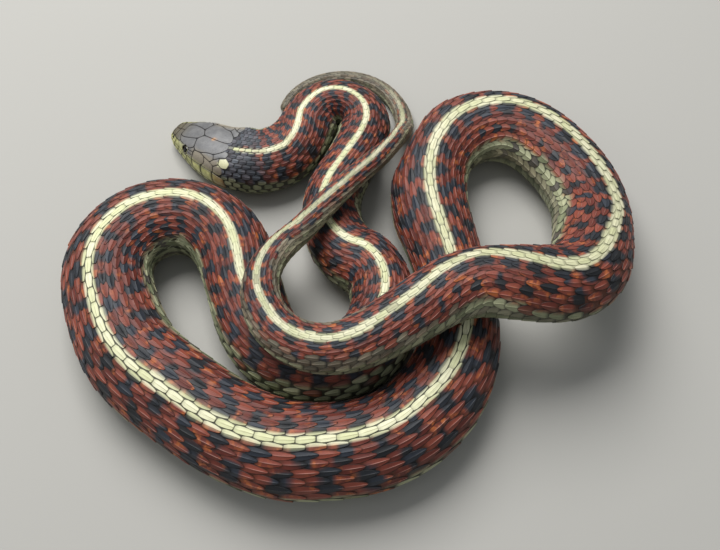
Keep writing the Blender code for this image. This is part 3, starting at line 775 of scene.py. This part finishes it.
def shift(h, spots, move):
    """Spots moved over the hide by millimetres in space."""
    small = 0.02
    feel = [(head_place(h, spots + step) - head_place(h, spots - step)) / (2 * small)
            for step in (np.array((small, 0)), np.array((0, small)))]
    j = np.stack(feel, -1)
    square = np.einsum("nik,nil->nkl", j, j) + 0.01 * np.eye(2)
    return spots + np.linalg.solve(square, np.einsum("nik,ni->nk", j, move)[..., None])[..., 0]


def inset(h, ring, width):
    """An outline drawn in by a width, as seen on the hide."""
    place = head_place(h, ring)
    along = np.roll(place, -1, axis=0) - np.roll(place, 1, axis=0)
    inward = np.cross(head_out(h, ring), along)
    inward /= np.maximum(np.linalg.norm(inward, axis=1), 1e-9)[:, None]
    return shift(h, ring, inward * width)


def keep_clear(h, ring, centre, axis, radius):
    """An outline pushed off a round opening, such as the eye's, towards the outline's own side."""
    for _ in range(3):
        off = head_place(h, ring) - centre
        ahead = off @ axis
        off = off - ahead[:, None] * axis
        far = np.linalg.norm(off, axis=1)
        own = off.mean(axis=0)
        off = off + 0.4 * radius * own / np.linalg.norm(own)
        push = np.where(ahead > -radius, np.maximum(radius - far, 0), 0) / np.linalg.norm(off, axis=1)
        ring = shift(h, ring, off * push[:, None])
    return ring


def even_outline(h, outline):
    """An outline's corners as evenly spaced spots, its corners a little rounded."""
    closed = np.vstack([outline, outline[:1]])
    share = np.linspace(0, 1, EDGE_SAMPLES, endpoint=False)[:, None]
    fine = np.vstack([a + share * (b - a) for a, b in zip(closed, closed[1:])] + [closed[-1:]])
    arc = np.r_[0, np.cumsum(np.linalg.norm(np.diff(head_place(h, fine), axis=0), axis=1))]
    at = np.linspace(0, arc[-1], OUTLINE_POINTS, endpoint=False)
    ring = np.stack([np.interp(at, arc, fine[:, 0]), np.interp(at, arc, fine[:, 1])], 1)
    return 0.2 * np.roll(ring, 1, axis=0) + 0.6 * ring + 0.2 * np.roll(ring, -1, axis=0)


def lip_shields():
    """Outlines of the shields along both lips of one side."""
    made = {}
    upper, lower = np.array(UPPER_LIP_EDGE), np.array(LOWER_LIP_EDGE)
    for i, (a, b) in enumerate(zip(UPPER_LIP_CUTS, UPPER_LIP_CUTS[1:])):
        top = [(s, np.interp(s, *upper.T)) for s in (a, (a + b) / 2, b)]
        made["upper_lip_%d" % (i + 1)] = top + [(b + CUT_SLANT, UPPER_LIP), (a + CUT_SLANT * (i > 0), UPPER_LIP)]
    for i, (a, b) in enumerate(zip(LOWER_LIP_CUTS, LOWER_LIP_CUTS[1:])):
        low = [(s, np.interp(s, *lower.T)) for s in (b, (a + b) / 2, a)]
        made["lower_lip_%d" % (i + 1)] = [(a, LOWER_LIP), (b, LOWER_LIP)] + low
    return made


def head_outlines():
    """Every shield's outline as corners, both sides."""
    outlines = []
    for middle, half in MIDDLE_SHIELDS.values():
        half = np.array(half, float)
        other = half[::-1][half[::-1, 1] != middle]
        outlines.append(np.vstack([half, np.column_stack([other[:, 0], 2 * middle - other[:, 1]])]))
    for corners in (SIDE_SHIELDS | lip_shields()).values():
        outlines += [np.array(corners, float), np.array(corners, float) * (1, -1)]
    return outlines


def head_paint(s, level):
    """Amounts of brown, lip green and throat cream, and of the pale and orange spots."""
    side = np.abs(((level + 4) % 8) - 4)
    brown = 1 - ramp(s, 1.0, 5.5)
    temple = ramp(side, 0.7, 1.0) * ramp(s, 8, 10)
    green = ramp(side, 1.25, 1.5) + 0.55 * ramp(side, 0.9, 1.15) * (1 - ramp(s, 5.5, 7.5))
    green = np.minimum(green, 1) * (1 - 0.7 * ramp(s, 14.5, 17.5))
    throat = ramp(side, 2.1, 3.2)
    pale = (s > 15.85) & (side > 0.75 - 0.12 * ramp(s, 16.0, 17.2)) & (side < 1.04) & (level % 8 > 4)
    orange = np.exp(-((s - 12.0) / 0.36) ** 2 - (side / 0.07) ** 2) + 0.3 * ramp(s, 14.5, 16) * ramp(side, 1.3, 1.6)
    return np.stack([brown, green, throat], -1), np.stack([pale * 1.0, orange, temple], -1)


def head_shields(h):
    """The plates of the head, each a thin closed slab that follows the head's form."""
    eyes = [(c, a, EYE_RIM) for c, a in (eye_place(h, side) for side in (1, -1))]
    nostrils = [(*nostril_place(h, side), NOSTRIL_RIM) for side in (1, -1)]
    places, spots, edges, corners, sizes = [], [], [], [], []
    n = OUTLINE_POINTS
    for outline in head_outlines():
        ring = even_outline(h, outline)
        place = head_place(h, ring)
        turn = np.cross(place - place.mean(axis=0), np.roll(place, -1, axis=0) - place)
        if (turn * head_out(h, ring)).sum() < 0:
            ring = ring[::-1]
        for centre, axis, radius in eyes + nostrils:
            ring = keep_clear(h, ring, centre, axis, radius)
        edge = inset(h, ring, SUTURE / 2)
        lip = np.abs((outline[:, 1].mean() + 4) % 8 - 4) > LIP_FROM
        brim = inset(h, edge, BEVEL * (1.5 if lip else 1))
        middle = brim.mean(axis=0)
        rings = [edge] + [brim + share * (middle - brim) for share, _ in SHIELD_RINGS]
        heights = [SHIELD_SUNK] + [up for _, up in SHIELD_RINGS]
        start = sum(len(p) for p in places)
        for k, (spot, up) in enumerate(zip(rings, heights)):
            places.append(head_place(h, spot, up))
            spots.append(spot)
            edges.append(np.full(n, 1.0 if k == 0 else (0.6 if lip else 0.15) if k == 1 else 0.0))
        i, j = np.arange(len(rings) - 1)[:, None] * n + start, np.arange(n)[None]
        m = (j + 1) % n
        corners.append(np.stack([i + j, i + m, i + n + m, i + n + j], -1).ravel())
        sizes += [4] * ((len(rings) - 1) * n) + [n, n]
        corners += [start + (len(rings) - 1) * n + np.arange(n), start + np.arange(n)[::-1]]
    spots, corners = np.vstack(spots), np.concatenate(corners)
    piece = fill_mesh("head_shields", np.vstack(places), corners, np.array(sizes))
    s, level = spots.T
    write_map(piece, corners, (s + 1) / 20, ((level + 4) % 8) / 8)
    paint, dots = head_paint(s, level)
    write_attribute(piece, "paint", paint)
    write_attribute(piece, "dots", dots)
    write_attribute(piece, "edge", np.concatenate(edges))
    return piece


def level_at(h, s, t):
    """The level of a place round the head told in millimetres."""
    rows = h["rows"]
    k = np.clip(np.searchsorted(rows, s) - 1, 0, len(rows) - 2)
    u = ((s - rows[k]) / (rows[k + 1] - rows[k]))[:, None]
    table = h["levels"][k] * (1 - u) + h["levels"][k + 1] * u
    t = t % table[:, 8]
    j = np.clip((t[:, None] >= table[:, :8]).sum(axis=1) - 1, 0, 7)
    each = np.arange(len(s))
    return j + (t - table[each, j]) / (table[each, j + 1] - table[each, j])


def on_shields(h, outlines, s, t):
    """Whether places lie inside any head shield's outline."""
    inside = np.zeros(len(s), bool)
    level = level_at(h, s, t)
    for outline in outlines:
        middle = outline[:, 1].mean()
        across = (level - middle + 4) % 8 + middle - 4
        within = np.zeros(len(s), bool)
        for (a, b), (c, d) in zip(outline, np.roll(outline, -1, axis=0)):
            if b != d:
                within ^= ((b > across) != (d > across)) & (s < a + (across - b) * (c - a) / (d - b))
        inside |= within
    return inside


def eye_place(h, side):
    """Middle of an eye and the way it looks, in millimetres; side 1 is the animal's right."""
    low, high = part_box("eye_right" if side > 0 else "eye_left")
    spot = np.array([(EYE_S, EYE_LEVEL * side)])
    axis = head_out(h, spot)[0] + (0, 0, EYE_UPWARD)
    axis /= np.linalg.norm(axis)
    return (np.array(low) + np.array(high)) / 2 / MM - EYE_SUNK * axis, axis


def nostril_place(h, side):
    spot = np.array([(NOSTRIL_S, NOSTRIL_LEVEL * side)])
    return head_place(h, spot)[0], head_out(h, spot)[0]


def make_eye(h, side):
    """A ball whose front bulges as one clear scale, with its distances from the pupil's middle."""
    centre, axis = eye_place(h, side)
    low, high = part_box("eye_right" if side > 0 else "eye_left")
    radius = (high[2] - low[2]) / 2 / MM
    deselect()
    bpy.ops.mesh.primitive_uv_sphere_add(segments=48, ring_count=40, radius=1)
    ball = bpy.context.object
    ball.name = "eye_ball_" + ("right" if side > 0 else "left")
    turn = Vector(axis).to_track_quat("Z", "Y")
    away = []
    for v in ball.data.vertices:
        off = np.hypot(v.co.x, v.co.y) * radius
        v.co.z *= 1 + 0.10 * (v.co.z > 0) * (1 - off / radius) ** 2
        away.append(off if v.co.z > 0 else 2 * radius - off)
        v.co = (turn @ (v.co * radius) + Vector(centre)) * MM
    write_attribute(ball, "from_pupil", away)
    ball.data.shade_smooth()
    return ball


def make_nostril(h, side):
    """A small cup between the two nasal shields; its near black colour is painted shade of the nostril's hole."""
    centre, axis = nostril_place(h, side)
    deselect()
    bpy.ops.mesh.primitive_uv_sphere_add(segments=20, ring_count=12, radius=1)
    cup = bpy.context.object
    cup.name = "nostril_" + ("right" if side > 0 else "left")
    turn = Vector(axis).to_track_quat("Z", "Y")
    for v in cup.data.vertices:
        off = np.hypot(v.co.x, v.co.y)
        v.co.z = 0.1 - 0.9 * (1 - off * off) ** 0.5 if v.co.z > 0 else v.co.z * 1.4 + 0.05
        v.co = (turn @ (v.co * NOSTRIL_RIM * 1.15) + Vector(centre)) * MM
    cup.data.shade_smooth()
    return cup


def make_skin(h):
    """One closed skin from snout to tail, under all the scales, with a hollow round each eye."""
    rows = h["rows"]
    s = np.r_[rows[rows < HEAD_FINE_TO], np.arange(HEAD_FINE_TO, rows[-1] - TAIL_ROUND, SKIN_STEP), rows[-7:]]
    n, m = len(s), SKIN_ROUND
    around = np.repeat(np.interp(s, rows, h["around"]), m)
    at_s, at_t = np.repeat(s, m), around * np.tile(np.arange(m) / m, n)
    places = on_hide(h, at_s, at_t, np.zeros(n * m))
    for centre, axis in (eye_place(h, side) for side in (1, -1)):
        off = places - centre
        ahead = off @ axis
        far = np.linalg.norm(off - ahead[:, None] * axis, axis=1)
        sink = SOCKET_DEEP * (1 - ramp(far, 0.7 * EYE_RIM, 1.15 * EYE_RIM)) * (ahead > 0)
        places -= sink[:, None] * axis
    i, j = np.arange(n - 1)[:, None] * m, np.arange(m)[None]
    k = (j + 1) % m
    quads = np.stack([i + j, i + m + j, i + m + k, i + k], -1).ravel()
    corners = np.r_[quads, np.arange(m), (n - 1) * m + np.arange(m)[::-1]]
    piece = fill_mesh("skin", places, corners, np.r_[np.full(len(quads) // 4, 4), m, m])
    off_line = (at_t - np.interp(at_s, rows, h["line"]) + 0.5 * around) % around - 0.5 * around
    row = row_at(at_s, off_line / np.interp(at_s, rows, h["pitch"]))
    index = np.interp(at_s, rows, h["index"])
    write_marks(piece, at_s, index, row, index, row, 0 * row, 0 * row, 0 * row + 0.5)
    return piece


def add(tree, kind, *feeds, **settings):
    """One node with its settings; feeds are values, sockets or nodes, in its inputs' order."""
    node = tree.nodes.new("ShaderNode" + kind)
    for name, value in settings.items():
        setattr(node, name, value)
    for slot, value in zip([s for s in node.inputs if s.enabled], feeds):
        join(tree, value, slot)
    return node


def join(tree, value, slot):
    """A value, a colour's hex code, a socket or a node's first output, into an input."""
    if isinstance(value, bpy.types.Node):
        value = next(s for s in value.outputs if s.enabled)
    if isinstance(value, bpy.types.NodeSocket):
        tree.links.new(value, slot)
    else:
        slot.default_value = linear(value) if isinstance(value, str) else value


def dress(name, rough, ior):
    """A material with its shader, ready for colour and bump."""
    material = bpy.data.materials.new(name)
    material.use_nodes = True
    shader = material.node_tree.nodes["Principled BSDF"]
    shader.inputs["Roughness"].default_value = rough
    shader.inputs["IOR"].default_value = ior
    return material, material.node_tree, shader


def hide_colour(tree):
    """Markings that the skin shares with all that grows on it, without the rust's own noise."""
    place = add(tree, "TexCoord").outputs["Object"]
    black, rust, green = add(tree, "SeparateXYZ", add(tree, "Attribute", attribute_name="marks")).outputs
    nape, tail, stripe = add(tree, "SeparateXYZ", add(tree, "Attribute", attribute_name="tints")).outputs
    cloud = add(tree, "TexNoise", place, 1 / (2.4 * MM), 3.0)
    tone = add(tree, "Math", cloud, add(tree, "Attribute", attribute_name="chance"), operation="ADD")
    shade = add(tree, "MapRange", tone, 0.4, 1.6, interpolation_type="SMOOTHSTEP")
    patches = add(tree, "MapRange", add(tree, "TexNoise", place, 1 / (1.4 * MM), 2.0), 0.47, 0.66,
                  interpolation_type="SMOOTHSTEP")
    rusty = add(tree, "Math", rust, patches, operation="MULTIPLY")
    colour = add(tree, "Mix", shade, BRICK, BRICK_LIGHT, data_type="RGBA")
    colour = add(tree, "Mix", rusty, colour, RUST, data_type="RGBA")
    for share, dark, light in ((black, INK, INK_BLUE), (nape, NAPE, NAPE_LIGHT), (tail, OLIVE, OLIVE_LIGHT),
                               (green, SAGE_DARK, SAGE), (stripe, CREAM_EDGE, CREAM)):
        tint = add(tree, "Mix", shade, dark, light, data_type="RGBA")
        colour = add(tree, "Mix", share, colour, tint, data_type="RGBA")
    return colour, green, stripe


def bare_skin():
    """Soft skin between the scales: rust brown between red ones, near black elsewhere."""
    material, tree, shader = dress("bare_skin", 0.62, 1.45)
    place = add(tree, "TexCoord").outputs["Object"]
    colour, green, _ = hide_colour(tree)
    red, _, _ = add(tree, "SeparateXYZ", add(tree, "Attribute", attribute_name="lay")).outputs
    _, tail, _ = add(tree, "SeparateXYZ", add(tree, "Attribute", attribute_name="tints")).outputs
    deep = add(tree, "Mix", green, BETWEEN_SCALES, BETWEEN_SIDE, data_type="RGBA")
    deep = add(tree, "Mix", red, deep, RUST_DEEP, data_type="RGBA")
    colour = add(tree, "Mix", add(tree, "MapRange", tail, 0.0, 1.0, 0.9, 0.3), colour, deep, data_type="RGBA")
    bump = add(tree, "Bump", 0.5, 0.00005, 0.1, add(tree, "TexNoise", place, 1 / (0.25 * MM), 2.0))
    join(tree, colour, shader.inputs["Base Color"])
    join(tree, bump, shader.inputs["Normal"])
    return material


def keeled_horn():
    """Dry horn scales: a thin keel with a painted highlight along it, fine ribs run along, and a dark rim, partly the
    scale's own outline and partly painted shadow.
    """
    material, tree, shader = dress("keeled_horn", 0.5, 1.45)
    colour, _, stripe = hide_colour(tree)
    nape, tail, _ = add(tree, "SeparateXYZ", add(tree, "Attribute", attribute_name="tints")).outputs
    red, along, across = add(tree, "SeparateXYZ", add(tree, "Attribute", attribute_name="lay")).outputs
    aside = add(tree, "Math", across, operation="ABSOLUTE")
    ribs = add(tree, "CombineXYZ", add(tree, "Math", along, 0.8, operation="MULTIPLY"),
               add(tree, "Math", across, 5.0, operation="MULTIPLY"),
               add(tree, "Math", add(tree, "Attribute", attribute_name="chance"), 40.0, operation="MULTIPLY"))
    ribbed = add(tree, "TexNoise", ribs, 1.0, 2.0)
    streak = add(tree, "MapRange", ribbed, 0.5, 0.75, 0.0, 0.3)
    colour = add(tree, "Mix", streak, colour, BETWEEN_SCALES, data_type="RGBA")
    under = add(tree, "Mix", red, BETWEEN_SCALES, RUST_DEEP, data_type="RGBA")
    root = add(tree, "MapRange", along, -0.45, -0.85, 0.0, 0.9)
    # The rim at the sides and tip is darkened: partly the scale's own dark outline, partly painted shadow under its
    # raised edges; less on the stripe and the tail.
    rim = add(tree, "Math", add(tree, "MapRange", aside, 0.78, 0.98, 0.0, 0.85),
              add(tree, "MapRange", along, 0.88, 0.98, 0.0, 0.85), operation="MAXIMUM")
    soft = add(tree, "Math", add(tree, "Math", tail, 0.4, operation="MULTIPLY"), stripe, operation="MAXIMUM")
    rim = add(tree, "Math", rim, add(tree, "MapRange", soft, 0.0, 1.0, 1.0, 0.5), operation="MULTIPLY")
    bare = add(tree, "Math", nape, stripe, operation="MAXIMUM")
    root = add(tree, "Math", root, add(tree, "MapRange", bare, 0.0, 1.0, 1.0, 0.3), operation="MULTIPLY")
    colour = add(tree, "Mix", root, colour, under, data_type="RGBA")
    colour = add(tree, "Mix", rim, colour, BETWEEN_SCALES, data_type="RGBA")
    keel = add(tree, "Math", add(tree, "MapRange", aside, 0.12, 0.02),
               add(tree, "MapRange", along, -0.6, 0.0), operation="MULTIPLY")
    # A painted highlight along the keel of red scales, and a brown keel line, the scales' own colour, on the stripe.
    pale = add(tree, "Math", keel, add(tree, "Math", red, 0.45, operation="MULTIPLY"), operation="MULTIPLY")
    brown = add(tree, "Math", keel, add(tree, "Math", stripe, 0.3, operation="MULTIPLY"), operation="MULTIPLY")
    colour = add(tree, "Mix", pale, colour, KEEL_PAINTED_HIGHLIGHT, data_type="RGBA")
    colour = add(tree, "Mix", brown, colour, KEEL_BROWN, data_type="RGBA")
    height = add(tree, "Math", ribbed, 0.6, keel, operation="MULTIPLY_ADD")
    join(tree, colour, shader.inputs["Base Color"])
    join(tree, add(tree, "MapRange", ribbed, 0.0, 1.0, 0.42, 0.7), shader.inputs["Roughness"])
    join(tree, add(tree, "Bump", 0.5, 0.00008, 0.1, height), shader.inputs["Normal"])
    return material


def shield_horn():
    """Smooth thin plates of horn: satin and finely freckled, dark where two of them meet."""
    material, tree, shader = dress("shield_horn", 0.4, 1.5)
    place = add(tree, "TexCoord").outputs["Object"]
    brown, lip, throat = add(tree, "SeparateXYZ", add(tree, "Attribute", attribute_name="paint")).outputs
    pale, orange, temple = add(tree, "SeparateXYZ", add(tree, "Attribute", attribute_name="dots")).outputs
    cloud = add(tree, "MapRange", add(tree, "TexNoise", place, 1 / (1.6 * MM), 3.0), 0.3, 0.7)
    colour = add(tree, "Mix", cloud, SHIELD, SHIELD_LIGHT, data_type="RGBA")
    green = add(tree, "Mix", cloud, LIP_DARK, LIP, data_type="RGBA")
    freckle = add(tree, "TexNoise", place, 1 / (0.22 * MM), 2.0)
    freckled = add(tree, "MapRange", freckle, 0.5, 0.7, 0.0, 0.22)
    edge = add(tree, "Attribute", attribute_name="edge")
    for share, tint in ((brown, SNOUT), (temple, TEMPLE), (lip, green), (throat, THROAT), (pale, PALE_SPOT),
                        (freckled, BETWEEN_SCALES), (edge, SUTURE_BROWN), (orange, ORANGE_SPOT)):
        colour = add(tree, "Mix", share, colour, tint, data_type="RGBA")
    join(tree, colour, shader.inputs["Base Color"])
    join(tree, add(tree, "MapRange", freckle, 0.0, 1.0, 0.32, 0.52), shader.inputs["Roughness"])
    join(tree, add(tree, "Bump", 0.25, 0.00004, 0.1, freckle), shader.inputs["Normal"])
    return material


def clear_eye():
    """A wet-looking clear scale over the eye: round pupil, thin pale ring, flecked brown iris."""
    material, tree, shader = dress("clear_eye", 0.07, 1.4)
    away = add(tree, "Attribute", attribute_name="from_pupil")
    fleck = add(tree, "TexNoise", add(tree, "TexCoord").outputs["Object"], 1 / (0.16 * MM), 3.0)
    iris = add(tree, "Mix", add(tree, "MapRange", fleck, 0.45, 0.7), IRIS_BROWN, IRIS_GOLD, data_type="RGBA")
    colour = add(tree, "Mix", add(tree, "MapRange", away, PUPIL - 0.03, PUPIL + 0.03), "#030303", IRIS_PALE,
                 data_type="RGBA")
    colour = add(tree, "Mix", add(tree, "MapRange", away, PUPIL_RING - 0.05, PUPIL_RING + 0.08), colour, iris,
                 data_type="RGBA")
    colour = add(tree, "Mix", add(tree, "MapRange", away, IRIS - 0.1, IRIS + 0.06), colour, "#060505",
                 data_type="RGBA")
    join(tree, colour, shader.inputs["Base Color"])
    return material


def nostril_painted_shade():
    """Near black for the nostril: painted shade of its hole, which shows as a dark dot."""
    material, tree, shader = dress("nostril_painted_shade", 0.5, 1.4)
    cloud = add(tree, "TexNoise", add(tree, "TexCoord").outputs["Object"], 1 / (0.3 * MM), 2.0)
    join(tree, add(tree, "Mix", cloud, "#050505", "#14110F", data_type="RGBA"), shader.inputs["Base Color"])
    return material


def make_camera():
    """The photo's view: from above the near side, looking at the coils."""
    data = bpy.data.cameras.new("camera")
    camera = bpy.data.objects.new("camera", data)
    bpy.context.scene.collection.objects.link(camera)
    data.sensor_width = 36.0
    data.lens = FOCAL_PX / PHOTO_WIDE_PX * data.sensor_width
    data.clip_start, data.clip_end = 0.005, 5.0
    tilt = radians(CAMERA_UP)
    back = Vector((0, -np.cos(tilt), np.sin(tilt)))
    camera.location = (Vector((*LOOK_AT, 0)) + back * CAMERA_AWAY) * MM
    camera.rotation_euler = (-back).to_track_quat("-Z", "Y").to_euler()
    bpy.context.scene.camera = camera


def make_stage():
    """Plain pale floor, a large soft lamp above the far side, a weak one at the left, a pale sky."""
    deselect()
    bpy.ops.mesh.primitive_plane_add(size=4)
    floor = bpy.context.object
    floor.name = "floor"
    material, tree, shader = dress("matt_paper", 0.85, 1.4)
    shader.inputs["Base Color"].default_value = linear(FLOOR_COLOUR)
    floor.data.materials.append(material)
    world = bpy.data.worlds.new("studio")
    world.use_nodes = True
    world.node_tree.nodes["Background"].inputs[0].default_value = linear(SKY_COLOUR)
    world.node_tree.nodes["Background"].inputs[1].default_value = SKY
    bpy.context.scene.world = world
    for name, place, size, power in LAMPS:
        data = bpy.data.lights.new(name, "AREA")
        data.shape, data.size, data.energy = "SQUARE", size, power
        lamp = bpy.data.objects.new(name, data)
        lamp.location = place
        lamp.rotation_euler = (-Vector(place)).to_track_quat("-Z", "Y").to_euler()
        bpy.context.scene.collection.objects.link(lamp)
    bpy.context.scene.view_settings.view_transform = "Standard"


def finish_piece(piece, material):
    """Its material, and the root body it hangs from."""
    piece.data.materials.append(material)
    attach(piece, "root")


def main():
    h = make_hide(lay_body())
    skin = make_skin(h)
    finish_piece(skin, bare_skin())
    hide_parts(*[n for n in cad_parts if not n.startswith("eye")])
    horn = keeled_horn()
    for piece in back_scales(h) + belly_scutes(h) + [throat_scales(h)]:
        finish_piece(piece, horn)
    finish_piece(head_shields(h), shield_horn())
    # The nostrils' near black is painted shade.
    clear, nostril_shade = clear_eye(), nostril_painted_shade()
    for side, node in ((1, "eye_right"), (-1, "eye_left")):
        ball = make_eye(h, side)
        finish_piece(ball, clear)
        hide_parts(node)
        finish_piece(make_nostril(h, side), nostril_shade)
    make_camera()
    make_stage()


main()
